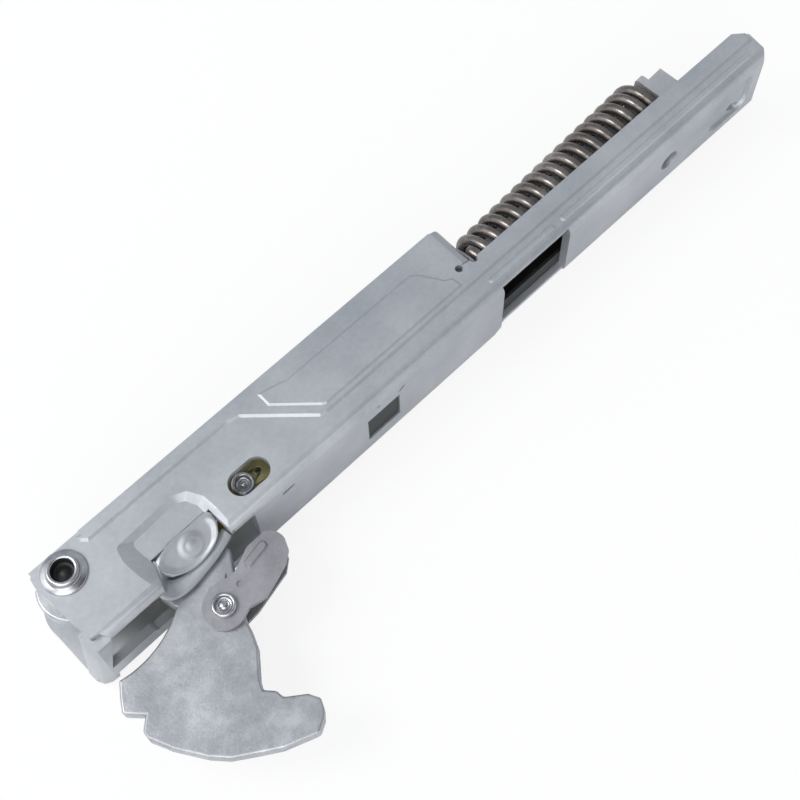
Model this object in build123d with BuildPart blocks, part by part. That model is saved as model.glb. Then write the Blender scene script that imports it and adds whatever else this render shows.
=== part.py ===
from build123d import *
from math import cos, radians, sin, tan
import os

os.makedirs("parts", exist_ok=True)

# Sheet channel. Heights are counted from its mid plane, depths from the outer face of its web.
sheet = 2.0
near_out = 11.2
near_in = near_out - sheet
panel_rise = 0.4
near_low = near_out - panel_rise
far_out = -11.2
far_in = far_out + sheet
step_up = 2.4
step_start = 102.5
step_end = 106.5
channel_start = -5.0
wide_depth = 20.7
narrow_depth = 9.7
tab_x = 104.4
channel_end = 193.4
outer_bend = 2.6
inner_bend = 0.6
lip_top = -4.3
recess = 1.6
tongue_bend = 6.8
tongue_slope = 40.0
tongue_t = 1.2
lip_low = 3.55
lip_t = 1.0

# Pivot and crank
pivot_y = wide_depth - 4.7
pivot_r = 3.1
bush_r = 3.75
running_fit = 0.05
arm_low = -0.8
arm_top = 3.2
crank_r = 6.0
crank_start = -42.5
crank_pin_r = 1.5
neck_inner_r = 17.0
neck_foot = -51.9
neck_top = -7.1

# Pull linkage
plate_t = 1.3
plate_gap = 0.3
fork_gap = 0.3
join_x = 37.0
join_y = 7.5
join_r = 1.6
rod_tilt = 2.9
rod_w = 6.0
rod_t = 3.0
mid_z = 1.2
cap_t = 2.0
cap_low = -6.4
cap_high = 4.2
cap_flange = 5.4

# Spring
spring_r = 6.1
wire_r = 1.38
seat_t = 0.6
seat_x = tab_x + 0.55
spring_len = 58.6
turns = 15.6

# Lock lever
lever_x = 18.1
lever_y = -8.5
lever_pin_r = 1.6
lever_t = 1.3

crank_x = crank_r * cos(radians(crank_start))
crank_y = pivot_y + crank_r * sin(radians(crank_start))
near_plate_z = arm_top + plate_gap
far_plate_z = arm_low - plate_gap - plate_t
slope = tan(radians(rod_tilt))
spring_start = seat_x + seat_t + wire_r + 0.07
cap_x = spring_start + (spring_len + wire_r) * cos(radians(rod_tilt)) + 0.1
rod_end_x = cap_x + cap_t + 5.5
liner_end = cap_x - 2.0


def on_rod(x):
    return join_y + (x - join_x) * slope


def along_rod(x, z=0.0):
    return Plane(
        origin=(x, on_rod(x), z),
        x_dir=(-sin(radians(rod_tilt)), cos(radians(rod_tilt)), 0),
        z_dir=(cos(radians(rod_tilt)), sin(radians(rod_tilt)), 0),
    )


def flat_on_rod(x, z):
    return Plane(
        origin=(x, on_rod(x), z),
        x_dir=(cos(radians(rod_tilt)), sin(radians(rod_tilt)), 0),
        z_dir=(0, 0, 1),
    )


def on_neck(angle):
    return (neck_inner_r * cos(radians(angle)), pivot_y + neck_inner_r * sin(radians(angle)))


def folded(low, high, start, depth, bend):
    outline = Polygon((start, low), (depth, low), (depth, high), (start, high), align=None)
    fillet(outline.vertices().group_by(Axis.X)[0], bend)


def yoke_outline():
    # fork over the crank pin at the left, eye on the joining pin at the right
    fork_floor = crank_y - 4.35
    Polygon(
        (0.9, 12.1), (0.9, 7.0), (1.7, 6.1), (5.8, 6.1), (6.8, 5.5), (30.0, 5.5), (33.0, 4.7),
        (45.0, 4.7), (46.5, 6.2), (46.5, 9.6), (45.0, 11.1), (34.0, 10.6), (11.5, 11.0),
        (8.0, 12.1),
        align=None,
    )
    with Locations((crank_x, fork_floor + 5)):
        Rectangle(2 * (crank_pin_r + fork_gap), 10, mode=Mode.SUBTRACT)
    with Locations((join_x, join_y)):
        Circle(join_r, mode=Mode.SUBTRACT)


tongue_plane = Plane(
    origin=(20.0, tongue_bend, near_out - recess + 0.05),
    x_dir=(1, 0, 0),
    z_dir=(0, -sin(radians(tongue_slope)), cos(radians(tongue_slope))),
)

# Channel: outer block less inner block for the wide run, the step and the narrow run
with BuildPart() as channel:
    with BuildSketch(Plane.YZ.offset(channel_start)):
        folded(far_out, near_low, 0, wide_depth, outer_bend)
    extrude(amount=step_start - channel_start)
    with BuildSketch(Plane.YZ.offset(step_start)):
        folded(far_out, near_low, 0, wide_depth, outer_bend)
    with BuildSketch(Plane.YZ.offset(step_end)):
        folded(far_out + step_up, near_low, 0, wide_depth, outer_bend)
    loft(ruled=True)
    with BuildSketch(Plane.YZ.offset(step_end)):
        folded(far_out + step_up, near_low, 0, wide_depth, outer_bend)
    extrude(amount=channel_end - step_end)
    # Panels and edge strip stand 0.4 mm above the plain part of the near wall
    with BuildSketch(Plane.XY.offset(near_low - 0.5)):
        Polygon(
            (5.0, wide_depth), (5.3, 18.4), (7.0, 16.9), (42.0, 16.9), (44.6, 16.2), (56.4, 4.9),
            (58.2, 4.5), (124.0, 4.6), (channel_end, 4.6), (channel_end, wide_depth),
            align=None,
        )
    extrude(amount=near_out - near_low + 0.5, taper=55)
    with BuildSketch(Plane.XY.offset(near_low - 0.5)):
        Polygon(
            (7.0, wide_depth), (7.0, 19.2), (50.0, 19.2), (60.0, 12.0), (channel_end, 7.5),
            (channel_end, wide_depth),
            align=None,
        )
    extrude(amount=near_out - near_low + 0.5)
    with BuildSketch(Plane.XY.offset(near_out - 0.1)):
        Polygon(
            (50.5, 14.5), (58.5, 6.9), (59.5, 6.4), (98.6, 6.4), (98.2, 9.4), (96.6, 10.3),
            (93.8, 14.8), (92.0, 16.4), (57.0, 16.6), (53.6, 17.7), (50.5, 18.3),
            align=None,
        )
    extrude(amount=0.35, taper=62)
    with BuildSketch(Plane.XY.offset(near_low - 0.1)):
        with Locations((channel_end - 36.4, 3.2)):
            SlotOverall(64.0, 1.7)
        with Locations((113.0, 3.3)):
            SlotOverall(20.0, 1.4)
    extrude(amount=0.45, taper=40)
    # Inner space
    with BuildSketch(Plane.YZ.offset(channel_start - 1)):
        folded(far_in, near_in, sheet, wide_depth + 5, inner_bend)
    extrude(amount=step_start - channel_start + 1, mode=Mode.SUBTRACT)
    with BuildSketch(Plane.YZ.offset(step_start)):
        folded(far_in, near_in, sheet, wide_depth + 5, inner_bend)
    with BuildSketch(Plane.YZ.offset(step_end)):
        folded(far_in + step_up, near_in, sheet, wide_depth + 5, inner_bend)
    loft(ruled=True, mode=Mode.SUBTRACT)
    with BuildSketch(Plane.YZ.offset(step_end)):
        folded(far_in + step_up, near_in, sheet, wide_depth + 5, inner_bend)
    extrude(amount=channel_end - step_end + 1, mode=Mode.SUBTRACT)
    # Outline of both walls, and the shaped far end
    with BuildSketch(Plane.XY.offset(-20)):
        Polygon(
            (102.4, narrow_depth + 0.6), (102.4, 30), (200, 30), (200, narrow_depth),
            (105, narrow_depth),
            align=None,
        )
        Polygon(
            (190, 9.75), (193.4, 7), (192.8, 2), (191, -0.1), (200, -1), (200, 12), (190, 12),
            align=None,
        )
        Polygon(
            (step_start - 1.2, narrow_depth + 0.6), (102.5, 30), (104, 30), (104, narrow_depth),
            align=None,
        )
    extrude(amount=40, mode=Mode.SUBTRACT)
    # Near wall's pivot end
    with BuildSketch(Plane.XY.offset(near_in - 0.05)):
        Polygon((-9, -1), (-9, 22), (-6.0, 22), (-6.0, 16), (-4.4, 3), (-4.4, -1), align=None)
        Polygon((-4.6, -1), (-4.6, 2.7), (-2.6, 2.2), (-1.5, 0.4), (-1.5, -1), align=None)
    extrude(amount=5, mode=Mode.SUBTRACT)
    # Near wall leans out a little to its rounded top corner
    with BuildSketch(Plane.XY.offset(near_in)):
        Polygon(
            (-4.45, 3.2), (-5.75, 17.6), (-5.4, 19.6), (-4.0, 20.6), (-2.6, 20.7), (-2.6, 3.2),
            align=None,
        )
    extrude(amount=near_low - near_in)
    # Far wall's rounded pivot end and the corner flange
    with BuildSketch(Plane.XY.offset(far_out)):
        with Locations((0, pivot_y)):
            Circle(8.5)
        Polygon((-8.2, 2.0), (-8.4, 15), (0, 15), (0, 2.0), align=None)
        with Locations((0, wide_depth + 10)):
            Rectangle(40, 20, mode=Mode.SUBTRACT)
    extrude(amount=sheet)
    with BuildSketch(Plane.XY.offset(far_out)):
        Polygon(
            (-8.5, 4.8), (-8.4, 2.6), (-7.6, 0.9), (-6.2, 0.15), (-4.4, 0), (-4.4, 2), (-5.6, 2.1),
            (-6.3, 3), (-6.5, 4.8),
            align=None,
        )
    with BuildSketch(Plane.XY.offset(near_in - 0.3)):
        Polygon(
            (-5.5, 5.4), (-5.4, 3.4), (-4.6, 1.5), (-3.2, 0.35), (-1.6, 0), (-1.6, 2), (-2.6, 2.2),
            (-3.3, 3.4), (-3.5, 5.4),
            align=None,
        )
    loft(ruled=True)
    # Arm window: under the near wall's cut edge, above a stepped lip
    with BuildSketch(Plane.XZ.offset(1)):
        Polygon(
            (-4.6, lip_top), (6.0, lip_top), (6.8, lip_top - 1.0), (34.0, lip_top - 1.0),
            (34.0, near_in - 0.6), (29.0, near_in - 0.6), (29.0, near_in), (-1.6, near_in),
            (-1.65, near_in - 0.3),
            align=None,
        )
    extrude(amount=-3.7, mode=Mode.SUBTRACT)
    with BuildSketch(Plane.XZ.offset(1)):
        Polygon((-9, near_in - 0.1), (29.0, near_in - 0.1), (29.0, 12), (-9, 12), align=None)
    extrude(amount=-1.3, mode=Mode.SUBTRACT)
    # Drawn recess: the same two outlines, one wall apart, give its outer and inner side
    with BuildSketch(Plane.XY.offset(near_in)) as bulge_top:
        Polygon(
            (8.7, 0.3), (7.4, 5), (7.0, 10), (8.0, 14.4), (24.6, 15.2), (28.6, 13.4), (30.6, 9.4),
            (31.0, 5.5), (30.8, 0.3),
            align=None,
        )
        fillet(bulge_top.vertices().filter_by(lambda v: v.Y > 1 and v.Y < 14.9), 1.2)
    with BuildSketch(Plane.XY.offset(near_in - recess)) as bulge_floor:
        Polygon(
            (12.4, 0.3), (12.2, 5), (11.6, 9), (11.4, 12.6), (24.2, 13.2), (26.8, 12.0),
            (28.0, 9.4), (28.2, 5.5), (28.0, 0.3),
            align=None,
        )
        fillet(bulge_floor.vertices().filter_by(lambda v: v.Y > 1 and v.Y < 12.9), 1.0)
    loft()
    with BuildSketch(Plane.XY.offset(near_out)) as cup_top:
        Polygon(
            (9.8, 0.1), (8.6, 5), (8.1, 10), (9.2, 13.4), (24.8, 14.1), (27.8, 12.6), (29.6, 9.4),
            (30.0, 5.5), (29.8, 0.1),
            align=None,
        )
        fillet(cup_top.vertices().filter_by(lambda v: v.Y > 1 and v.Y < 13.9), 1.2)
    with BuildSketch(Plane.XY.offset(near_out - recess)) as cup_floor:
        Polygon(
            (13.9, 0.1), (13.6, 5), (13.0, 8.6), (12.8, 11.9), (24.0, 12.4), (25.9, 11.4),
            (27.0, 9.0), (27.2, 5.5), (27.0, 0.1),
            align=None,
        )
        fillet(cup_floor.vertices().filter_by(lambda v: v.Y > 1 and v.Y < 12.2), 1.0)
    loft(mode=Mode.SUBTRACT)
    with BuildSketch(Plane.XY.offset(near_in - 3)):
        Polygon(
            (11.0, -1), (13.2, 5.2), (13.4, tongue_bend), (28.0, tongue_bend), (28.4, -1),
            align=None,
        )
    extrude(amount=8, mode=Mode.SUBTRACT)
    # Tongue folded down out of the recess, with its round boss and its flared lip
    with BuildSketch(tongue_plane) as tongue_face:
        Polygon(
            (-7.2, -3.0), (-5.4, -5.6), (-1.6, -7.1), (2.6, -6.9), (6.2, -5.4), (8.0, -2.6),
            (7.6, -0.4), (6.8, 0.3), (-2.2, 0.3), (-6.6, -1.2),
            align=None,
        )
        fillet(tongue_face.vertices().group_by(Axis.Y)[0], 2.0)
    extrude(amount=-tongue_t)
    with BuildSketch(tongue_plane) as rim:
        Polygon(
            (-7.2, -3.0), (-5.4, -5.6), (-1.6, -7.1), (2.6, -6.9), (6.2, -5.4), (8.0, -2.6),
            (7.1, -2.4), (5.6, -4.7), (2.3, -6.1), (-1.4, -6.3), (-4.8, -4.9), (-6.5, -2.7),
            align=None,
        )
    extrude(amount=0.35)
    with BuildSketch(tongue_plane):
        with Locations((1.2, -3.1)):
            Circle(2.7)
    extrude(amount=0.7, taper=38)
    with BuildSketch(Plane.XY.offset(lip_low)) as flare:
        Polygon(
            (10.6, 1.4), (12.3, -0.7), (16.2, -1.3), (22.6, -0.3), (28.0, 1.2), (28.4, 3.4),
            (26.6, 2.9), (22.5, 1.9), (18.4, 1.7), (14.6, 2.2), (13.6, 3.6), (11.0, 3.2),
            align=None,
        )
        fillet(flare.vertices().filter_by(lambda v: v.Y < 1), 1.0)
    extrude(amount=lip_t)
    with BuildSketch(Plane.XY.offset(lip_low)):
        Polygon(
            (10.6, 1.4), (12.0, 0.6), (14.2, 2.4), (14.4, 4.2), (13.0, 4.2), (10.6, 3.0),
            align=None,
        )
    with BuildSketch(Plane.XY.offset(near_in + 0.1)):
        Polygon((9.8, 0.5), (11.6, 0.5), (13.8, 5.0), (13.8, 6.4), (12.4, 6.4), (9.8, 2.4), align=None)
    loft(ruled=True)
    # Access slot, pivot holes
    with BuildSketch(Plane.XY.offset(near_in - 1)):
        with Locations((38.05, 6.1)):
            SlotOverall(9.5, 5.6)
    extrude(amount=5, mode=Mode.SUBTRACT)
    with BuildSketch(Plane.XY.offset(-20)):
        with Locations((0, pivot_y)):
            Circle(pivot_r)
    extrude(amount=40, mode=Mode.SUBTRACT)
    # Spring abutment tabs with their relief notches
    with BuildSketch(Plane.XZ.offset(-10.3)):
        Polygon(
            (100, near_in), (102.4, near_in - 0.9), (102.4, 4.4), (tab_x, 4.4), (tab_x, 9.2),
            (103.6, 10.4), (102.2, 11.1), (100, near_out),
            align=None,
        )
        Polygon(
            (100, far_in), (102.4, far_in + 0.9), (102.4, -2.0), (tab_x, -2.0), (tab_x, -9.2),
            (103.6, -10.4), (102.2, -11.1), (100, far_out),
            align=None,
        )
    extrude(amount=-10.2)
    with BuildSketch(Plane.XY.offset(-20)):
        with Locations((100.6, 10.0), (104.6, 9.6)):
            Circle(0.9)
    extrude(amount=40, mode=Mode.SUBTRACT)
    # Windows, holes and marks of the web
    with BuildSketch(Plane.XZ.offset(1)):
        Polygon((tab_x + 0.1, -12), (125, -12), (125, 12), (tab_x + 0.1, 12), align=None)
    extrude(amount=-1.9, mode=Mode.SUBTRACT)
    with BuildSketch(Plane.XZ.offset(1)):
        Polygon((tab_x + 0.1, -7.0), (125, -7.0), (125, 9.4), (tab_x + 0.1, 9.4), align=None)
        Polygon((64.3, -4.9), (73.3, -4.9), (73.3, 4.6), (64.3, 4.6), align=None)
        with Locations((channel_end - 34.2, mid_z)):
            Circle(2.65)
    extrude(amount=-4.0, mode=Mode.SUBTRACT)
    with BuildSketch(Plane.XY.offset(-0.9)):
        Polygon(
            (102.5, 1.0), (102.5, 7.5), (tab_x + 0.05, 7.5), (tab_x + 0.05, 1.6), (103.6, 0.4),
            (102.5, 0),
            align=None,
        )
    extrude(amount=8.4)
    with BuildSketch(Plane.XZ.offset(0)) as pad:
        with Locations((channel_end - 12.4, 1.9)):
            Rectangle(14.0, 12.6)
        fillet(pad.vertices(), 3.6)
    extrude(amount=-0.8, taper=25, mode=Mode.SUBTRACT)
    with BuildSketch(Plane.XZ.offset(-sheet)) as pad_back:
        with Locations((channel_end - 12.4, 1.9)):
            Rectangle(14.4, 13.0)
        fillet(pad_back.vertices(), 3.8)
    extrude(amount=-0.8, taper=25)
    with BuildSketch(Plane.XZ.offset(1)):
        with Locations(Location((channel_end - 9.9, -2.3), -35)):
            SlotOverall(4.6, 2.2)
    extrude(amount=-4.5, mode=Mode.SUBTRACT)
    with BuildSketch(Plane.XZ.offset(0)):
        with Locations((67.5, 7.5)):
            Circle(0.45)
        with Locations(Location((74.0, 6.6), 40)):
            SlotOverall(1.9, 0.9)
        with Locations((42.7, 6.4)):
            SlotOverall(3.4, 1.1)
    extrude(amount=-0.5, mode=Mode.SUBTRACT)

# Arm
with BuildPart() as arm:
    with BuildSketch(Plane.XY.offset(arm_low)):
        with BuildLine():
            Polyline(on_neck(neck_top), (9.6, pivot_y - 2.1), (8.3, 12.4), (7.3, 10.4))
            ThreePointArc((7.3, 10.4), (4.2, 8.5), (0, 8.6))
            ThreePointArc((0, 8.6), (-7.0, 13.6), (-6.1, 20.2))
            Polyline((-6.1, 20.2), (21.5, 20.2))
            ThreePointArc((21.5, 20.2), (25.2, 18.6), (26.6, 14.9))
            Polyline(
                (26.6, 14.9), (26.6, 0.0), (24.8, -3.2), (21.2, -9.6), (19.4, -13.6),
                (18.9, -15.6), (17.7, -18.6), (13.9, -23.5), (13.0, -25.4), (14.7, -27.3),
                (14.9, -29.1), (18.6, -31.9), (19.8, -34.2), (18.9, -36.2), (17.7, -37.6),
                (15.4, -38.9), (8.6, -36.2), (4.9, -33.8), (0.2, -30.6), (-2.5, -27.6),
                (-6.5, -21.4), (-8.3, -17.4), (-8.1, -15.4), (-5.9, -13.4), (-8.9, -10.2),
                (-7.2, -7.4), (-5.4, -4.9),
            )
            ThreePointArc((-5.4, -4.9), (2.0, -5.25), (11.3, -1.6))
            Line((11.3, -1.6), on_neck(neck_foot))
            ThreePointArc(on_neck(neck_foot), on_neck(-30), on_neck(neck_top))
        make_face()
    extrude(amount=arm_top - arm_low)
    with BuildSketch(Plane.XY.offset(arm_low - 1)):
        with Locations((0, pivot_y)):
            Circle(pivot_r + running_fit)
        with Locations((crank_x, crank_y)):
            Circle(crank_pin_r)
        with Locations((lever_x, lever_y)):
            Circle(lever_pin_r)
    extrude(amount=6, mode=Mode.SUBTRACT)

# Pivot rivet: tube with a flange at each end
with BuildPart() as pivot_rivet:
    with BuildSketch(Plane.XY.offset(far_out - 1.6)):
        with Locations((0, pivot_y)):
            Circle(4.6)
    extrude(amount=1.6)
    with BuildSketch(Plane.XY.offset(far_out)):
        with Locations((0, pivot_y)):
            Circle(pivot_r)
    extrude(amount=near_low - far_out)
    with BuildSketch(Plane.XY.offset(near_low)):
        with Locations((0, pivot_y)):
            Circle(4.15)
    extrude(amount=2.2)
    with BuildSketch(Plane.XY.offset(far_out - 2)):
        with Locations((0, pivot_y)):
            Circle(2.3)
    extrude(amount=30, mode=Mode.SUBTRACT)
    fillet(pivot_rivet.edges().group_by(Axis.Z)[-1], 0.6)

# Pivot bushes
with BuildPart() as pivot_bush_near:
    with BuildSketch(Plane.XY.offset(arm_top + 0.05)):
        with Locations((0, pivot_y)):
            Circle(bush_r)
            Circle(pivot_r, mode=Mode.SUBTRACT)
    extrude(amount=near_in - arm_top - 0.05)

with BuildPart() as pivot_bush_far:
    with BuildSketch(Plane.XY.offset(far_in)):
        with Locations((0, pivot_y)):
            Circle(bush_r)
            Circle(pivot_r, mode=Mode.SUBTRACT)
    extrude(amount=arm_low - 0.05 - far_in)

# Crank pin, pressed into the arm
with BuildPart() as crank_pin:
    with BuildSketch(Plane.XY.offset(far_plate_z - 0.4)):
        with Locations((crank_x, crank_y)):
            Circle(crank_pin_r)
    extrude(amount=near_plate_z - far_plate_z + plate_t + 0.8)
    chamfer(crank_pin.edges().group_by(Axis.Z)[0] + crank_pin.edges().group_by(Axis.Z)[-1], 0.25)

# Yoke plates: a fork over the crank pin, an eye on the joining pin
with BuildPart() as yoke_near:
    with BuildSketch(Plane.XY.offset(near_plate_z)):
        yoke_outline()
        with Locations((join_x + 4.3, join_y + 0.5)):
            Circle(0.6, mode=Mode.SUBTRACT)
    extrude(amount=plate_t)

with BuildPart() as yoke_far:
    with BuildSketch(Plane.XY.offset(far_plate_z)):
        yoke_outline()
    extrude(amount=plate_t)

# Joining pin and its washers
with BuildPart() as joining_pin:
    with BuildSketch(Plane.XY.offset(far_plate_z)):
        with Locations((join_x, join_y)):
            Circle(join_r)
    extrude(amount=near_plate_z + plate_t - far_plate_z)
    with BuildSketch(Plane.XY.offset(near_plate_z + plate_t)):
        with Locations((join_x, join_y)):
            Circle(2.4)
    extrude(amount=1.4)
    with BuildSketch(Plane.XY.offset(near_plate_z + plate_t + 0.6)):
        with Locations((join_x, join_y)):
            Circle(1.5)
            Circle(0.7, mode=Mode.SUBTRACT)
    extrude(amount=2, mode=Mode.SUBTRACT)
    with BuildSketch(Plane.XY.offset(far_plate_z - 1.0)):
        with Locations((join_x, join_y)):
            Circle(2.6)
    extrude(amount=1.0)

with BuildPart() as pin_washer_near:
    with BuildSketch(Plane.XY.offset(mid_z + rod_t / 2)):
        with Locations((join_x, join_y)):
            Circle(2.8)
            Circle(join_r, mode=Mode.SUBTRACT)
    extrude(amount=near_plate_z - mid_z - rod_t / 2)

with BuildPart() as pin_washer_far:
    with BuildSketch(Plane.XY.offset(far_plate_z + plate_t)):
        with Locations((join_x, join_y)):
            Circle(2.8)
            Circle(join_r, mode=Mode.SUBTRACT)
    extrude(amount=mid_z - rod_t / 2 - far_plate_z - plate_t)

# Tie rod along the spring's axis
with BuildPart() as tie_rod:
    with BuildSketch(flat_on_rod(join_x, mid_z - rod_t / 2)):
        Circle(rod_w / 2 + 0.3)
        with Locations(((rod_end_x - join_x) / 2, 0)):
            Rectangle(rod_end_x - join_x, rod_w)
        with Locations((cap_x + cap_t + 1.75 - join_x, 0)):
            Circle(1.5, mode=Mode.SUBTRACT)
        Circle(join_r, mode=Mode.SUBTRACT)
    extrude(amount=rod_t)

with BuildPart() as rod_pin:
    with BuildSketch(flat_on_rod(join_x, mid_z - 4.2)):
        with Locations((cap_x + cap_t + 1.75 - join_x, 0)):
            Circle(1.5)
    extrude(amount=8.4)
    chamfer(rod_pin.edges().group_by(Axis.Z)[0] + rod_pin.edges().group_by(Axis.Z)[-1], 0.3)

# End cap: plate across the spring with two flanges
with BuildPart() as spring_end_cap:
    with BuildSketch(along_rod(cap_x, mid_z)) as cap_face:
        with Locations(((cap_low + cap_high) / 2, 0)):
            Rectangle(cap_high - cap_low, 2 * cap_flange + 1.6)
        fillet(cap_face.vertices(), 1.2)
        Rectangle(rod_w + 0.1, rod_t + 0.1, mode=Mode.SUBTRACT)
    extrude(amount=cap_t)
    with BuildSketch(along_rod(cap_x, mid_z)):
        with Locations((-1.4, cap_flange), (-1.4, -cap_flange)):
            Rectangle(6.6, 1.5)
    extrude(amount=cap_t + 4.4)

# Spring seat ring on the abutment tabs
with BuildPart() as spring_seat:
    with BuildSketch(along_rod(seat_x, mid_z)):
        Circle(spring_r + 1.2)
        Circle(4.4, mode=Mode.SUBTRACT)
    extrude(amount=seat_t)

# Spring
with BuildPart() as spring:
    with BuildLine() as coil:
        Helix(
            pitch=spring_len / turns,
            height=spring_len,
            radius=spring_r,
            center=(spring_start, on_rod(spring_start), mid_z),
            direction=(cos(radians(rod_tilt)), sin(radians(rod_tilt)), 0),
        )
    with BuildSketch(Plane(coil.line @ 0, z_dir=coil.line % 0)):
        Circle(wire_r)
    sweep(is_frenet=True)

# Liner with the lug that fills the small window
with BuildPart() as spring_liner:
    with BuildSketch(Plane.XZ.offset(-2.85)):
        Polygon((58.0, -6.2), (liner_end, -6.2), (liner_end, -1.5), (58.0, -1.5), align=None)
        Polygon((60.0, -6.2), (78.0, -6.2), (78.0, 6.0), (60.0, 6.0), align=None)
    extrude(amount=0.8)
    with BuildSketch(Plane.XY.offset(-6.75)):
        Polygon(
            (spring_start, 2.65), (liner_end, 2.65), (liner_end, 6.0), (spring_start, 6.0),
            align=None,
        )
    extrude(amount=0.8)
    with BuildSketch(Plane.XZ.offset(-2.1)):
        Polygon((64.4, -4.8), (73.2, -4.8), (73.2, 4.5), (64.4, 4.5), align=None)
    extrude(amount=1.7)

# Lock lever: clip around the arm's edge, its far plate narrower than the near one
with BuildPart() as lock_lever:
    with BuildSketch(Plane.XY.offset(near_plate_z)):
        with BuildLine():
            ThreePointArc((18.8, -13.1), (13.6, -8.8), (17.0, -4.4))
            Polyline((17.0, -4.4), (18.6, -3.7), (21.6, -4.5), (24.2, -4.7), (29.0, -2.6), (33.2, -2.5))
            ThreePointArc((33.2, -2.5), (35.2, -4.2), (35.5, -6.6))
            Polyline(
                (35.5, -6.6), (34.6, -8.7), (32.4, -10.4), (28.8, -11.7), (25.0, -12.9),
                (21.4, -12.1), (18.8, -13.1),
            )
        make_face()
    extrude(amount=lever_t)
    with BuildSketch(Plane.XY.offset(far_plate_z)):
        with BuildLine():
            ThreePointArc((18.8, -12.6), (13.9, -8.8), (17.0, -4.6))
            Polyline((17.0, -4.6), (24.2, -4.7), (29.0, -2.6), (33.2, -2.5))
            ThreePointArc((33.2, -2.5), (35.0, -4.2), (35.2, -6.6))
            Polyline(
                (35.2, -6.6), (34.3, -8.3), (32.0, -10.2), (26.3, -11.5), (22.8, -12.3),
                (18.8, -12.6),
            )
        make_face()
    extrude(amount=lever_t)
    with BuildSketch(Plane.XY.offset(far_plate_z)):
        Polygon(
            (28.4, -2.8), (33.2, -2.5), (34.6, -3.5), (35.2, -6.2), (33.9, -6.3), (33.4, -4.3),
            (32.6, -3.8), (28.4, -4.0),
            align=None,
        )
    extrude(amount=near_plate_z + lever_t - far_plate_z)
    with BuildSketch(Plane.XY.offset(near_plate_z + lever_t)):
        with Locations(Location((29.2, -5.0), 10)):
            SlotOverall(6.4, 2.0)
    extrude(amount=0.6, taper=30)
    with BuildSketch(Plane.XY.offset(far_plate_z - 1)):
        with Locations((lever_x, lever_y)):
            Circle(lever_pin_r + running_fit)
    extrude(amount=10, mode=Mode.SUBTRACT)
    with BuildSketch(Plane.XY.offset(near_plate_z + lever_t - 0.4)):
        with Locations((23.2, -7.3)):
            Circle(0.7)
    extrude(amount=1, mode=Mode.SUBTRACT)

# Lever rivet and washers
with BuildPart() as lever_rivet:
    with BuildSketch(Plane.XY.offset(far_plate_z - 1.2)):
        with Locations((lever_x, lever_y)):
            Circle(2.5)
    extrude(amount=1.15)
    with BuildSketch(Plane.XY.offset(far_plate_z - 0.1)):
        with Locations((lever_x, lever_y)):
            Circle(lever_pin_r)
    extrude(amount=near_plate_z + lever_t - far_plate_z + 0.2)
    with BuildSketch(Plane.XY.offset(near_plate_z + lever_t + 0.05)):
        with Locations((lever_x, lever_y)):
            Circle(2.5)
    extrude(amount=1.2)
    fillet(lever_rivet.edges().group_by(Axis.Z)[-1], 0.7)

with BuildPart() as lever_washer_near:
    with BuildSketch(Plane.XY.offset(arm_top)):
        with Locations((lever_x, lever_y)):
            Circle(2.9)
            Circle(lever_pin_r, mode=Mode.SUBTRACT)
    extrude(amount=plate_gap - 0.05)

with BuildPart() as lever_washer_far:
    with BuildSketch(Plane.XY.offset(arm_low - plate_gap + 0.05)):
        with Locations((lever_x, lever_y)):
            Circle(2.9)
            Circle(lever_pin_r, mode=Mode.SUBTRACT)
    extrude(amount=plate_gap - 0.05)

channel.part.label = "channel"
export_step(channel.part, "parts/channel.step")
arm.part.label = "arm"
export_step(arm.part, "parts/arm.step")
pivot_rivet.part.label = "pivot_rivet"
export_step(pivot_rivet.part, "parts/pivot_rivet.step")
pivot_bush_near.part.label = "pivot_bush_near"
export_step(pivot_bush_near.part, "parts/pivot_bush_near.step")
pivot_bush_far.part.label = "pivot_bush_far"
export_step(pivot_bush_far.part, "parts/pivot_bush_far.step")
crank_pin.part.label = "crank_pin"
export_step(crank_pin.part, "parts/crank_pin.step")
yoke_near.part.label = "yoke_near"
export_step(yoke_near.part, "parts/yoke_near.step")
yoke_far.part.label = "yoke_far"
export_step(yoke_far.part, "parts/yoke_far.step")
joining_pin.part.label = "joining_pin"
export_step(joining_pin.part, "parts/joining_pin.step")
pin_washer_near.part.label = "pin_washer_near"
export_step(pin_washer_near.part, "parts/pin_washer_near.step")
pin_washer_far.part.label = "pin_washer_far"
export_step(pin_washer_far.part, "parts/pin_washer_far.step")
tie_rod.part.label = "tie_rod"
export_step(tie_rod.part, "parts/tie_rod.step")
rod_pin.part.label = "rod_pin"
export_step(rod_pin.part, "parts/rod_pin.step")
spring_end_cap.part.label = "spring_end_cap"
export_step(spring_end_cap.part, "parts/spring_end_cap.step")
spring_seat.part.label = "spring_seat"
export_step(spring_seat.part, "parts/spring_seat.step")
spring.part.label = "spring"
export_step(spring.part, "parts/spring.step")
spring_liner.part.label = "spring_liner"
export_step(spring_liner.part, "parts/spring_liner.step")
lock_lever.part.label = "lock_lever"
export_step(lock_lever.part, "parts/lock_lever.step")
lever_rivet.part.label = "lever_rivet"
export_step(lever_rivet.part, "parts/lever_rivet.step")
lever_washer_near.part.label = "lever_washer_near"
export_step(lever_washer_near.part, "parts/lever_washer_near.step")
lever_washer_far.part.label = "lever_washer_far"
export_step(lever_washer_far.part, "parts/lever_washer_far.step")
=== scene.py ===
import math

import bpy
from mathutils import Matrix, Vector


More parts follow.
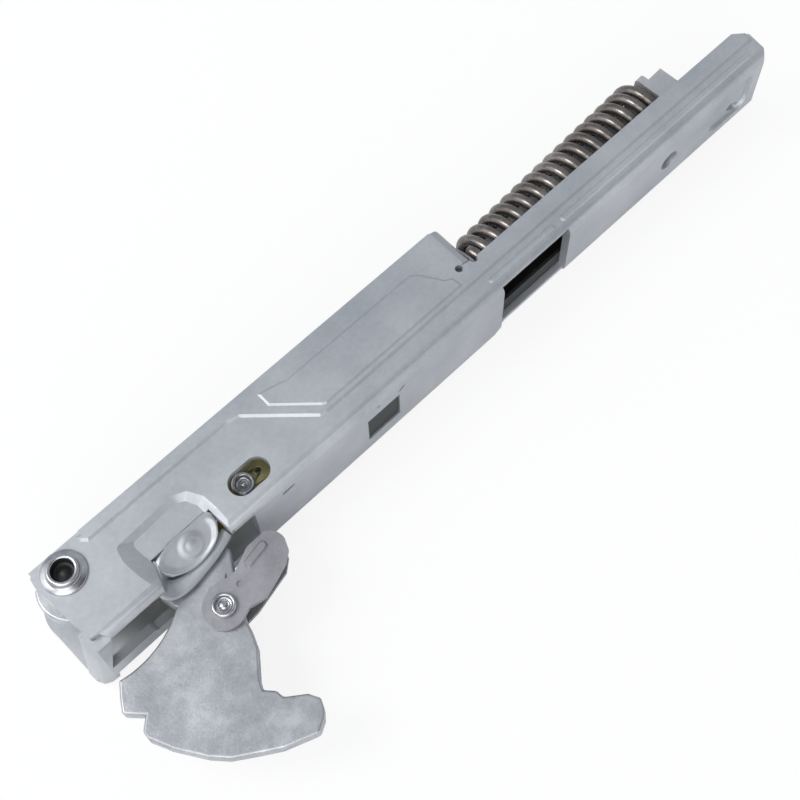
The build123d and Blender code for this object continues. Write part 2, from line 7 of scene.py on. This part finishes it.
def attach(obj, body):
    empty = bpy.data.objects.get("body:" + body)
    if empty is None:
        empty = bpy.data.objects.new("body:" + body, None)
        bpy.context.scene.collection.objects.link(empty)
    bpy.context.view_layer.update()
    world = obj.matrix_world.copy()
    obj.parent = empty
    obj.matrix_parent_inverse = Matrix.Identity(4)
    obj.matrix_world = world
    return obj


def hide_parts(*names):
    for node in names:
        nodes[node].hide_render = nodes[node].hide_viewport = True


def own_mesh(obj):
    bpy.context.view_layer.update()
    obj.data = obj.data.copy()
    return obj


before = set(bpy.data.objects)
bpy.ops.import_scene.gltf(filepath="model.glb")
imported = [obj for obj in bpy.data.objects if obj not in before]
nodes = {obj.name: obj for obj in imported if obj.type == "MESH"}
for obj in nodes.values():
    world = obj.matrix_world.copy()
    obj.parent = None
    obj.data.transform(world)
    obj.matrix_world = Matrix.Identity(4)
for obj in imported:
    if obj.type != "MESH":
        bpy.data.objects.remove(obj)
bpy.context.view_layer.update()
mm = 0.001
print("frame loaded:", len(nodes), "nodes")


def added(name, data):
    thing = bpy.data.objects.new(name, data)
    bpy.context.scene.collection.objects.link(thing)
    return thing


def startMaterial(name):
    mat = bpy.data.materials.new(name)
    mat.use_nodes = True
    tree = mat.node_tree
    bsdf = tree.nodes["Principled BSDF"]
    coords = tree.nodes.new("ShaderNodeTexCoord")
    return mat, tree, bsdf, coords.outputs["Object"]


def stretched(tree, source, scale):
    node = tree.nodes.new("ShaderNodeMapping")
    node.inputs["Scale"].default_value = scale
    tree.links.new(source, node.inputs["Vector"])
    return node.outputs["Vector"]


def noiseAt(tree, vector, scale, detail=4.0, rough=0.55):
    node = tree.nodes.new("ShaderNodeTexNoise")
    node.inputs["Scale"].default_value = scale
    node.inputs["Detail"].default_value = detail
    node.inputs["Roughness"].default_value = rough
    tree.links.new(vector, node.inputs["Vector"])
    return node.outputs["Fac"]


def rampOf(tree, fac, stops):
    node = tree.nodes.new("ShaderNodeValToRGB")
    ramp = node.color_ramp
    ramp.elements[0].position, ramp.elements[0].color = stops[0][0], (*stops[0][1], 1)
    ramp.elements[1].position, ramp.elements[1].color = stops[-1][0], (*stops[-1][1], 1)
    for place, colour in stops[1:-1]:
        ramp.elements.new(place).color = (*colour, 1)
    tree.links.new(fac, node.inputs["Fac"])
    return node.outputs["Color"]


def spread(tree, fac, low, high):
    node = tree.nodes.new("ShaderNodeMapRange")
    node.inputs["To Min"].default_value = low
    node.inputs["To Max"].default_value = high
    tree.links.new(fac, node.inputs["Value"])
    return node.outputs["Result"]


def bumpFrom(tree, bsdf, height, strength, distance):
    node = tree.nodes.new("ShaderNodeBump")
    node.inputs["Strength"].default_value = strength
    node.inputs["Distance"].default_value = distance
    tree.links.new(height, node.inputs["Height"])
    tree.links.new(node.outputs["Normal"], bsdf.inputs["Normal"])


rampStops = (0.32, 0.5, 0.68)  # where the dark, middle and light colours of the plating sit
platingDepth = 0.0002  # metres


def platedSteel(name, look):
    # zinc plate: clouds and spangle set the colour, spangle the roughness, rolling lines the bump
    mat, tree, bsdf, place = startMaterial(name)
    clouds = noiseAt(tree, place, look["cloudScale"], 3.0)
    spangle = noiseAt(tree, place, look["spangleScale"], 6.0, 0.7)
    rolled = noiseAt(tree, stretched(tree, place, look["rolling"]), look["rollScale"], 3.0)
    blend = tree.nodes.new("ShaderNodeMix")
    blend.inputs["Factor"].default_value = look["spangleShare"]
    tree.links.new(clouds, blend.inputs["A"])
    tree.links.new(spangle, blend.inputs["B"])
    tones = (look["dark"], look["middle"], look["light"])
    colour = rampOf(tree, blend.outputs["Result"], tuple(zip(rampStops, tones)))
    tree.links.new(colour, bsdf.inputs["Base Color"])
    tree.links.new(spread(tree, spangle, look["smooth"], look["rough"]), bsdf.inputs["Roughness"])
    bsdf.inputs["Metallic"].default_value = look["metallic"]
    bumpFrom(tree, bsdf, rolled, look["bump"], platingDepth)
    return mat


def paintNodes(mat, *names):
    for name in names:
        mesh = nodes[name].data
        mesh.materials.clear()
        mesh.materials.append(mat)


channelLook = {
    "dark": (0.36, 0.38, 0.40),
    "middle": (0.44, 0.455, 0.475),
    "light": (0.51, 0.525, 0.54),
    "cloudScale": 60.0,
    "spangleScale": 900.0,
    "spangleShare": 0.35,
    "rolling": (40.0, 900.0, 900.0),
    "rollScale": 1.0,
    "smooth": 0.34,
    "rough": 0.5,
    "metallic": 0.55,
    "bump": 0.12,
}
armLook = {
    "dark": (0.31, 0.32, 0.33),
    "middle": (0.41, 0.42, 0.435),
    "light": (0.57, 0.58, 0.59),
    "cloudScale": 160.0,
    "spangleScale": 2600.0,
    "spangleShare": 0.28,
    "rolling": (900.0, 900.0, 900.0),
    "rollScale": 3.0,
    "smooth": 0.22,
    "rough": 0.52,
    "metallic": 0.75,
    "bump": 0.09,
}
leverLook = {
    "dark": (0.27, 0.265, 0.28),
    "middle": (0.34, 0.335, 0.35),
    "light": (0.42, 0.415, 0.43),
    "cloudScale": 120.0,
    "spangleScale": 1200.0,
    "spangleShare": 0.3,
    "rolling": (300.0, 300.0, 300.0),
    "rollScale": 1.5,
    "smooth": 0.3,
    "rough": 0.42,
    "metallic": 0.6,
    "bump": 0.1,
}
rivetLook = dict(
    armLook,
    dark=(0.28, 0.28, 0.29),
    middle=(0.45, 0.45, 0.46),
    light=(0.62, 0.62, 0.63),
    metallic=0.8,
)
rodLook = dict(
    armLook,
    dark=(0.22, 0.22, 0.23),
    middle=(0.34, 0.34, 0.35),
    light=(0.45, 0.45, 0.46),
    metallic=0.8,
)
yellowLook = dict(
    armLook,
    dark=(0.22, 0.20, 0.08),
    middle=(0.32, 0.29, 0.13),
    light=(0.42, 0.38, 0.2),
    metallic=0.7,
)
turnedLook = dict(
    armLook,
    dark=(0.36, 0.36, 0.37),
    middle=(0.50, 0.50, 0.51),
    light=(0.62, 0.62, 0.63),
    cloudScale=300.0,
    spangleScale=700.0,
    spangleShare=0.3,
    rolling=(300.0, 300.0, 300.0),
    smooth=0.2,
    rough=0.3,
    metallic=0.95,
    bump=0.04,
)
capLook = dict(channelLook, dark=(0.42, 0.42, 0.43), middle=(0.5, 0.5, 0.51), light=(0.58, 0.58, 0.59))
springLook = dict(
    leverLook,
    dark=(0.11, 0.095, 0.085),
    middle=(0.19, 0.17, 0.155),
    light=(0.30, 0.275, 0.26),
    smooth=0.2,
    rough=0.34,
    metallic=0.9,
)

paintNodes(platedSteel("channelZinc", channelLook), "channel")
paintNodes(platedSteel("armZinc", armLook), "arm")
paintNodes(platedSteel("leverZinc", leverLook), "lock_lever")
paintNodes(platedSteel("rivetZinc", rivetLook), "pivot_rivet", "lever_rivet", "joining_pin")
paintNodes(
    platedSteel("rodZinc", rodLook),
    "tie_rod", "rod_pin", "crank_pin", "pivot_bush_near", "pivot_bush_far", "spring_seat",
    "pin_washer_near", "pin_washer_far", "lever_washer_near", "lever_washer_far",
)
paintNodes(platedSteel("yellowZinc", yellowLook), "yoke_near", "yoke_far")
paintNodes(platedSteel("capZinc", capLook), "spring_end_cap")


def moulded(name, look):
    mat, tree, bsdf, place = startMaterial(name)
    grain = noiseAt(tree, place, look["grain"], 5.0)
    colour = rampOf(tree, grain, ((0.3, look["dark"]), (0.7, look["light"])))
    tree.links.new(colour, bsdf.inputs["Base Color"])
    bsdf.inputs["Roughness"].default_value = look["rough"]
    bumpFrom(tree, bsdf, grain, look["bump"], look["depth"])
    return mat


# near-black plastic for the spring liner: partly the liner's own black, partly painted shade for the
# dark inside of the channel; the pivot socket reuses it as painted shade
blackAndShadeLook = {
    "dark": (0.006, 0.006, 0.006),
    "light": (0.014, 0.014, 0.014),
    "grain": 2500.0,
    "rough": 0.5,
    "bump": 0.15,
    "depth": 0.0001,
}
paintNodes(moulded("blackPlasticAndShade", blackAndShadeLook), "spring_liner")
print("CAD pieces painted")


weldReach = 0.002  # mm, joins the mesh's split corners so that they can be rounded


def breakEdges(width, angle, *names):
    # rounds the sharp edges of a CAD piece a little: width in mm, angle in degrees
    for name in names:
        thing = nodes[name]
        weld = thing.modifiers.new("weld", "WELD")
        weld.merge_threshold = weldReach * mm
        bevel = thing.modifiers.new("edges", "BEVEL")
        bevel.width = width * mm
        bevel.segments = 3
        bevel.limit_method = "ANGLE"
        bevel.angle_limit = math.radians(angle)
        bevel.harden_normals = True


breakEdges(0.7, 35, "arm")
breakEdges(0.25, 30, "channel", "spring_end_cap", "lock_lever", "yoke_near", "yoke_far")
breakEdges(0.12, 35, "spring_liner", "spring_seat", "tie_rod")
print("edges broken")

# Rivet and pin heads: profiles of (radius, z) in mm turned round a centre, each in place of its CAD node
turnedSteps = 64
turnedSharp = 50  # degrees, a ring's edge stays sharp above this
pivotHead = {
    "name": "pivotHead",
    "node": "pivot_rivet",
    "body": "channel",
    "centre": (0, 16.0),
    "profile": (
        (0, -11.7), (1.6, -11.7), (2.1, -12.0), (2.3, -12.6), (2.6, -12.8), (4.2, -12.8), (4.6, -12.4),
        (4.6, -11.2), (3.1, -11.2), (3.1, 10.8), (4.6, 10.8), (4.6, 11.2), (4.4, 11.4), (3.6, 11.5),
        (3.3, 11.7), (3.2, 12.1), (3.2, 12.7), (3.05, 12.93), (2.8, 13.0), (2.5, 12.95), (2.3, 12.75),
        (2.2, 12.3), (2.15, 10.9), (1.9, 10.7), (1.3, 10.8), (0.8, 11.15), (0.4, 11.3), (0, 11.35),
    ),
    # painted shade: faces inside this socket radius and below its top take the near-black liner material
    # for the shade in the hollow
    "paintedShadeInside": (2.35, 12.8),  # the socket's radius and top
}
joinHead = {
    "name": "joinHead",
    "node": "joining_pin",
    "body": "rod",
    "centre": (37.0, 7.5),
    "profile": (
        (0, -3.4), (2.2, -3.4), (2.6, -3.1), (2.6, -2.4), (1.6, -2.4), (1.6, 4.8), (2.4, 4.8),
        (2.4, 5.7), (2.3, 6.0), (2.1, 6.15), (1.85, 6.15), (1.7, 6.0), (1.6, 5.4), (1.4, 5.2),
        (1.05, 5.2), (0.95, 5.5), (0.75, 5.85), (0.4, 6.05), (0, 6.1),
    ),
}
leverHead = {
    "name": "leverHead",
    "node": "lever_rivet",
    "body": "arm",
    "centre": (18.1, -8.5),
    "profile": (
        (0, -3.6), (2.0, -3.6), (2.5, -3.2), (2.5, -2.45), (1.6, -2.45), (1.6, 4.85), (2.5, 4.85),
        (2.5, 5.5), (2.4, 5.85), (2.15, 6.02), (1.9, 6.0), (1.75, 5.8), (1.65, 5.35), (1.45, 5.2),
        (1.2, 5.2), (1.1, 5.45), (0.9, 5.75), (0.5, 5.95), (0, 6.0),
    ),
}


def turned(piece, mat):
    x, y = piece["centre"]
    verts, faces, rings = [], [], []
    for r, z in piece["profile"]:
        if r == 0:
            rings.append([len(verts)])
            verts.append((x * mm, y * mm, z * mm))
            continue
        rings.append([len(verts) + k for k in range(turnedSteps)])
        for k in range(turnedSteps):
            a = 2 * math.pi * k / turnedSteps
            verts.append(((x + r * math.cos(a)) * mm, (y + r * math.sin(a)) * mm, z * mm))
    for low, high in zip(rings, rings[1:]):
        for k in range(turnedSteps):
            j = (k + 1) % turnedSteps
            if len(low) == 1:
                faces.append((low[0], high[j], high[k]))
            elif len(high) == 1:
                faces.append((low[k], low[j], high[0]))
            else:
                faces.append((low[k], low[j], high[j], high[k]))
    mesh = bpy.data.meshes.new(piece["name"])
    mesh.from_pydata(verts, [], faces)
    mesh.shade_smooth()
    mesh.set_sharp_from_angle(angle=math.radians(turnedSharp))
    mesh.materials.append(mat)
    # painted shade: the socket's faces get the near-black liner material, standing in for the shade deep
    # in the hollow
    if "paintedShadeInside" in piece:
        mesh.materials.append(nodes["spring_liner"].data.materials[0])
        reach, top = piece["paintedShadeInside"]
        for polygon in mesh.polygons:
            middle = Vector(polygon.center) / mm
            flat = math.hypot(middle.x - x, middle.y - y)
            if flat < reach and 0 < middle.z < top:
                polygon.material_index = 1
    thing = added(piece["name"], mesh)
    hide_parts(piece["node"])
    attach(thing, piece["body"])


turnedZinc = platedSteel("turnedZinc", turnedLook)
for head in (pivotHead, joinHead, leverHead):
    turned(head, turnedZinc)
print("heads turned")

# Tongue and rolled band: smooth pressed skins over the channel's own faceted tongue and lip.
# The tongue's outline lies in its sloped plane, the band's two edges in the frame, all in mm.
tongue = {
    "origin": (20.0, 6.8, 9.65),
    "slope": math.radians(40),
    "boss": (1.2, -3.1),
    "outline": (
        (-7.3, -3.0), (-5.5, -5.7), (-1.6, -7.2), (2.6, -7.0), (6.3, -5.5), (8.1, -2.6), (7.7, -0.4),
        (6.6, 0.35), (2.4, 0.35), (-2.2, 0.35), (-6.7, -1.2),
    ),
    "rings": 26,
    "perSide": 10,
}
band = {
    "outer": (
        (9.7, 2.9, 9.2), (10.3, 1.2, 7.7), (11.2, -0.4, 6.0), (13.0, -1.2, 4.9), (16.2, -1.45, 4.6),
        (19.4, -1.05, 4.6), (22.6, -0.45, 4.65), (25.6, 0.3, 4.75), (28.3, 1.2, 4.9),
    ),
    "inner": (
        (12.7, 6.3, 9.2), (12.9, 5.0, 7.3), (13.3, 3.7, 5.8), (14.6, 2.5, 5.0), (16.9, 1.8, 4.75),
        (19.6, 1.75, 4.75), (22.5, 1.95, 4.8), (25.2, 2.6, 4.9), (27.9, 3.6, 5.1),
    ),
    "bulge": 0.5,
    "thick": 0.5,
    "along": 8,
    "across": 10,
}


def eased(low, high, value):
    t = min(max((value - low) / (high - low), 0.0), 1.0)
    return t * t * (3 - 2 * t)


def throughPoints(points, steps, closed):
    # Catmull-Rom curve through given points
    out, n = [], len(points)

    def near(i):
        return Vector(points[i % n] if closed else points[min(max(i, 0), n - 1)])

    for i in range(n if closed else n - 1):
        p = [near(i + k) for k in (-1, 0, 1, 2)]
        for j in range(steps):
            t = j / steps
            out.append(
                0.5 * (2 * p[1] + (p[2] - p[0]) * t + (2 * p[0] - 5 * p[1] + 4 * p[2] - p[3]) * t * t
                       + (3 * p[1] - p[0] - 3 * p[2] + p[3]) * t ** 3)
            )
    if not closed:
        out.append(Vector(points[-1]))
    return out


def pressedSkin(name, verts, faces, mat):
    mesh = bpy.data.meshes.new(name)
    mesh.from_pydata([tuple(v) for v in verts], [], faces)
    mesh.shade_smooth()
    mesh.materials.append(mat)
    thing = added(name, mesh)
    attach(thing, "channel")


def tongueHeight(fromBoss, share, v):
    # mm above the tongue's plane: boss with a ringed top, raised rim and turned-down free edge
    boss = 0.62 * (1 - eased(1.5, 3.1, fromBoss))
    tip = 0.22 * (1 - eased(0.2, 1.3, fromBoss))
    ring = 0.12 * eased(0.9, 1.5, fromBoss) * (1 - eased(1.5, 2.2, fromBoss))
    free = eased(0.3, 2.2, -v)
    lip = 0.55 * eased(0.70, 0.88, share) * free
    turnDown = -1.5 * eased(0.91, 1.0, share) * free
    return 0.42 + (boss + tip - ring) * 0.8 + lip + turnDown


def tongueSkin(t):
    rim = throughPoints(t["outline"], t["perSide"], True)
    centre = Vector(t["boss"])
    down = Vector((0, math.cos(t["slope"]), math.sin(t["slope"])))
    out = Vector((0, -math.sin(t["slope"]), math.cos(t["slope"])))
    verts, faces, n = [], [], len(rim)
    for ring in range(t["rings"] + 1):
        share = ring / t["rings"]
        for point in rim:
            spot = centre + (point - centre) * share
            h = tongueHeight((spot - centre).length, share, spot.y)
            verts.append((Vector(t["origin"]) + Vector((spot.x, 0, 0)) + down * spot.y + out * h) * mm)
    for ring in range(t["rings"]):
        for k in range(n):
            j = (k + 1) % n
            faces.append((ring * n + k, ring * n + j, (ring + 1) * n + j, (ring + 1) * n + k))
    return verts, faces


def bandSkin(b):
    outer = throughPoints(b["outer"], b["along"], False)
    inner = throughPoints(b["inner"], b["along"], False)
    verts, faces, n = [], [], b["across"] + 3
    for i, (o, q) in enumerate(zip(outer, inner)):
        ahead = outer[min(i + 1, len(outer) - 1)] - outer[max(i - 1, 0)]
        lift = ahead.cross(q - o).normalized()
        row = [o - lift * b["thick"]]
        for k in range(b["across"] + 1):
            s = k / b["across"]
            row.append(o.lerp(q, s) + lift * (b["bulge"] * math.sin(math.pi * s) ** 0.7))
        row.append(q - lift * b["thick"])
        verts += [v * mm for v in row]
    for i in range(len(outer) - 1):
        for k in range(n - 1):
            faces.append((i * n + k, i * n + k + 1, (i + 1) * n + k + 1, (i + 1) * n + k))
    return verts, faces


channelZinc = bpy.data.materials["channelZinc"]
pressedSkin("tongueSkin", *tongueSkin(tongue), channelZinc)
pressedSkin("bandSkin", *bandSkin(band), channelZinc)
print("tongue and band pressed")

# Coil spring: a swept wire with closed ends
coil = {
    "start": (105.75, 1.2),
    "length": 61.1,
    "radius": 6.1,
    "wire": 1.38,
    "turns": 16.4,
    "tilt": math.radians(2.9),
    "joinX": 37.0,
    "joinY": 7.5,
    "ringSteps": 40,
    "sides": 14,
    "travel": 8.49,
    "closed": 1.05,
    "phase": 1.2,
    "anchorY": 10.9,
}


def coilMesh(c):
    steps = int(c["turns"] * c["ringSteps"])
    axis = Vector((math.cos(c["tilt"]), math.sin(c["tilt"]), 0))
    side = Vector((-axis.y, axis.x, 0))
    up = Vector((0, 0, 1))
    startX, midZ = c["start"]
    origin = Vector((startX, c["joinY"] + (startX - c["joinX"]) * math.tan(c["tilt"]), midZ))
    closed = c["closed"]
    run = c["length"] - 2 * c["wire"]
    pitchMiddle = (run - 2 * closed * 2 * c["wire"]) / (c["turns"] - 2 * closed)

    def along(turn):
        if turn < closed:
            return turn * 2 * c["wire"]
        if turn > c["turns"] - closed:
            return run - (c["turns"] - turn) * 2 * c["wire"]
        return closed * 2 * c["wire"] + (turn - closed) * pitchMiddle

    points = []
    for i in range(steps + 1):
        turn = c["turns"] * i / steps
        angle = 2 * math.pi * turn + c["phase"]
        middle = origin + axis * (c["wire"] + along(turn))
        points.append(middle + (side * math.cos(angle) + up * math.sin(angle)) * c["radius"])
    verts, faces = [], []
    for i, point in enumerate(points):
        ahead = points[min(i + 1, steps)] - points[max(i - 1, 0)]
        ahead.normalize()
        turn = c["turns"] * i / steps
        angle = 2 * math.pi * turn + c["phase"]
        outward = side * math.cos(angle) + up * math.sin(angle)
        outward = (outward - ahead * outward.dot(ahead)).normalized()
        across = ahead.cross(outward)
        for k in range(c["sides"]):
            a = 2 * math.pi * k / c["sides"]
            verts.append((point + (outward * math.cos(a) + across * math.sin(a)) * c["wire"]) * mm)
    n = c["sides"]
    for i in range(steps):
        for k in range(n):
            faces.append((i * n + k, i * n + (k + 1) % n, (i + 1) * n + (k + 1) % n, (i + 1) * n + k))
    faces.append(tuple(reversed(range(n))))
    faces.append(tuple(range(steps * n, steps * n + n)))
    mesh = bpy.data.meshes.new("coilSpring")
    mesh.from_pydata([tuple(v) for v in verts], [], faces)
    for polygon in mesh.polygons:
        polygon.use_smooth = len(polygon.vertices) == 4
    mesh.validate()
    return mesh


coilPiece = added("coilSpring", coilMesh(coil))
coilPiece.data.materials.append(platedSteel("springSteel", springLook))
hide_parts("spring")
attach(coilPiece, "channel")
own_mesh(coilPiece)
print("spring wound")

# Room: white floor and soft light, camera at the photograph's angle
room = {
    "floor": -12.85,
    "target": (99.93, 10.0, 1.2),
    "distance": 319.8,
    "azimuth": -136.63,
    "elevation": 62.33,
    "roll": 2.0,
    "focalPx": 1461.9,
    "framePx": 800,
    "targetPx": (456.0, 292.35),
    "sensor": 36.0,
    "lampAim": (0.09, 0.01, 0),
    "paper": (0.86, 0.86, 0.86, 1),
    "paperGlow": 0.85,
    "worldLight": 1.0,
    "sky": (0.42, 0.45, 0.5),
    "glows": (
        {"from": (0.34, 0.32, 0.89), "edge": 0.55, "core": 0.98, "colour": (0.50, 0.53, 0.58)},
        {"from": (0.34, -0.94, -0.05), "edge": 0.72, "core": 0.93, "colour": (1.0, 0.99, 1.02)},
        {"from": (-0.72, -0.68, 0.1), "edge": 0.75, "core": 0.95, "colour": (1.5, 1.5, 1.52)},
        {"from": (0.34, -0.62, 0.71), "edge": 0.90, "core": 0.97, "colour": (0.02, 0.02, 0.03)},
        {"from": (-0.55, -0.45, 0.70), "edge": 0.86, "core": 0.95, "colour": (2.6, 2.65, 2.7)},
        {"from": (-0.6, 0.6, 0.5), "edge": 0.85, "core": 0.95, "colour": (1.3, 1.33, 1.38)},
    ),
}


def placeCamera(r):
    az, el = math.radians(r["azimuth"]), math.radians(r["elevation"])
    out = Vector((math.cos(el) * math.cos(az), math.cos(el) * math.sin(az), math.sin(el)))
    right = (-out).cross(Vector((0, 0, 1))).normalized()
    up = right.cross(-out)
    roll = math.radians(r["roll"])
    camX = right * math.cos(roll) + up * math.sin(roll)
    camY = -right * math.sin(roll) + up * math.cos(roll)
    spot = Vector(r["target"]) + out * r["distance"]
    matrix = Matrix((camX, camY, out)).transposed().to_4x4()
    matrix.translation = spot * mm
    camera = added("camera", bpy.data.cameras.new("camera"))
    camera.matrix_world = matrix
    camera.data.sensor_width = r["sensor"]
    camera.data.lens = r["focalPx"] / r["framePx"] * r["sensor"]
    camera.data.shift_x = (r["framePx"] / 2 - r["targetPx"][0]) / r["framePx"]
    camera.data.shift_y = (r["targetPx"][1] - r["framePx"] / 2) / r["framePx"]
    camera.data.clip_start = 0.01
    bpy.context.scene.camera = camera


def areaLamp(name, place, size, power):
    lamp = bpy.data.lights.new(name, "AREA")
    lamp.shape = "DISK"
    lamp.size = size
    lamp.energy = power
    thing = added(name, lamp)
    thing.location = place
    thing.rotation_euler = (Vector(room["lampAim"]) - Vector(place)).to_track_quat("-Z", "Y").to_euler()


def whiteFloor(r):
    mesh = bpy.data.meshes.new("floor")
    s, z = 6.0, r["floor"] * mm
    mesh.from_pydata([(-s, -s, z), (s, -s, z), (s, s, z), (-s, s, z)], [], [(0, 1, 2, 3)])
    floor = added("floor", mesh)
    mat = bpy.data.materials.new("paperWhite")
    mat.use_nodes = True
    tree = mat.node_tree
    bsdf = tree.nodes["Principled BSDF"]
    bsdf.inputs["Base Color"].default_value = r["paper"]
    bsdf.inputs["Roughness"].default_value = 0.9
    glow = tree.nodes.new("ShaderNodeEmission")
    path = tree.nodes.new("ShaderNodeLightPath")
    mixer = tree.nodes.new("ShaderNodeMixShader")
    scaled = tree.nodes.new("ShaderNodeMath")
    scaled.operation = "MULTIPLY"
    scaled.inputs[1].default_value = r["paperGlow"]
    tree.links.new(path.outputs["Is Camera Ray"], scaled.inputs[0])
    tree.links.new(scaled.outputs[0], mixer.inputs["Fac"])
    tree.links.new(bsdf.outputs[0], mixer.inputs[1])
    tree.links.new(glow.outputs[0], mixer.inputs[2])
    tree.links.new(mixer.outputs[0], tree.nodes["Material Output"].inputs["Surface"])
    mesh.materials.append(mat)


def towards(tree, direction, low, high):
    # 0 away from the given direction, 1 close to it
    spot = tree.nodes.new("ShaderNodeVectorMath")
    spot.operation = "DOT_PRODUCT"
    place = tree.nodes.new("ShaderNodeTexCoord")
    tree.links.new(place.outputs["Generated"], spot.inputs[0])
    spot.inputs[1].default_value = Vector(direction).normalized()
    fade = tree.nodes.new("ShaderNodeMapRange")
    fade.interpolation_type = "SMOOTHSTEP"
    fade.inputs["From Min"].default_value = low
    fade.inputs["From Max"].default_value = high
    tree.links.new(spot.outputs["Value"], fade.inputs["Value"])
    return fade.outputs["Result"]


def layered(tree, fac, under, over):
    mix = tree.nodes.new("ShaderNodeMix")
    mix.data_type = "RGBA"
    tree.links.new(fac, mix.inputs["Factor"])
    if isinstance(under, tuple):
        mix.inputs["A"].default_value = (*under, 1)
    else:
        tree.links.new(under, mix.inputs["A"])
    mix.inputs["B"].default_value = (*over, 1)
    return mix.outputs["Result"]


def daylight(r):
    world = bpy.data.worlds.new("studio")
    bpy.context.scene.world = world
    world.use_nodes = True
    tree = world.node_tree
    sky = r["sky"]
    for glow in r["glows"]:
        sky = layered(tree, towards(tree, glow["from"], glow["edge"], glow["core"]), sky, glow["colour"])
    tree.links.new(sky, tree.nodes["Background"].inputs["Color"])
    tree.nodes["Background"].inputs["Strength"].default_value = r["worldLight"]


placeCamera(room)
whiteFloor(room)
daylight(room)
areaLamp("keyLamp", (-0.35, 0.3, 0.75), 0.4, 3.0)
bpy.context.scene.view_settings.view_transform = "Standard"
print("room and camera placed")
